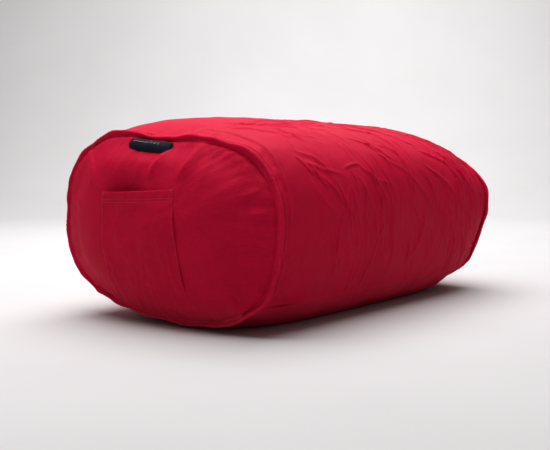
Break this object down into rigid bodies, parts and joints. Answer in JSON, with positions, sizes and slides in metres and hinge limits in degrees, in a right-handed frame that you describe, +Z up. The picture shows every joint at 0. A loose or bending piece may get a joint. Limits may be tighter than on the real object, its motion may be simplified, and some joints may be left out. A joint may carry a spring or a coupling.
{
  "type": "stuffed bolster footstool",
  "caption": "Barrel-shaped stuffed canvas footstool cushion with piped rounded ends, a patch pocket, a folded label and a lapped zip over a bead-filled liner.",
  "frame": {"origin": "on the floor, under the middle of the cushion's length between its two piped seams", "axes": "+X along the length towards the plain end, so the pocket end faces -X; the zip side faces -Y; +Z up"},
  "size_m": [0.7758, 0.4425, 0.3221],
  "materials": {
    "canvas_red": "matt plain-weave cotton canvas, brushed and slightly puckered at the seams",
    "piping_red": "bias-cut canvas over a cord",
    "label_navy": "woven tape with a plain stitched mark",
    "cord_white": "soft twisted filler cord",
    "zip_red": "woven zip tape",
    "zip_nylon": "nylon coil",
    "slider_metal": "die-cast slider and stops, satin",
    "liner_white": "thin lining cotton",
    "bead_white": "loose expanded polystyrene beads"
  },
  "bodies": {
    "cover": {"wrap_panel": "canvas_red", "base_panel": "canvas_red", "pocket_end_panel": "canvas_red", "plain_end_panel": "canvas_red", "pocket_end_piping_cover": "piping_red", "pocket_end_piping_cord": "cord_white", "plain_end_piping_cover": "piping_red", "plain_end_piping_cord": "cord_white", "pocket": "canvas_red", "zip_tape_upper": "zip_red", "zip_tape_lower": "zip_red", "zip_coil_upper": "zip_nylon", "zip_coil_lower": "zip_nylon", "zip_stop": "slider_metal", "liner_bag": "liner_white", "bead_fill": "bead_white", "liner_zip_tape_upper": "liner_white", "liner_zip_tape_lower": "liner_white", "liner_zip_coil_upper": "zip_nylon", "liner_zip_coil_lower": "zip_nylon", "liner_zip_stop": "slider_metal"},
    "flap": {"zip_flap": "canvas_red"},
    "slider": {"zip_slider": "slider_metal"},
    "label_loop": {"label": "label_navy"},
    "liner_slider": {"liner_zip_slider": "slider_metal"}
  },
  "joints": [
    {"name": "zip_flap_lift", "type": "hinge", "parent": "cover", "child": "flap", "pos_m": [0, -0.2039, 0.06445], "axis": [-1, 0, 0], "range_deg": [0, 100], "stiffness_Nm_per_rad": 0.003},
    {"name": "zip_slide", "type": "slide", "parent": "cover", "child": "slider", "axis": [1, 0, 0], "range_m": [0, 0.46]},
    {"name": "label_lift", "type": "hinge", "parent": "cover", "child": "label_loop", "pos_m": [-0.34767, 0.01605, 0.28167], "axis": [0.0172, 0.9949, 0.0998], "range_deg": [0, 90]},
    {"name": "liner_zip_slide", "type": "slide", "parent": "cover", "child": "liner_slider", "axis": [1, 0, 0], "range_m": [0, 0.24]}
  ]
}
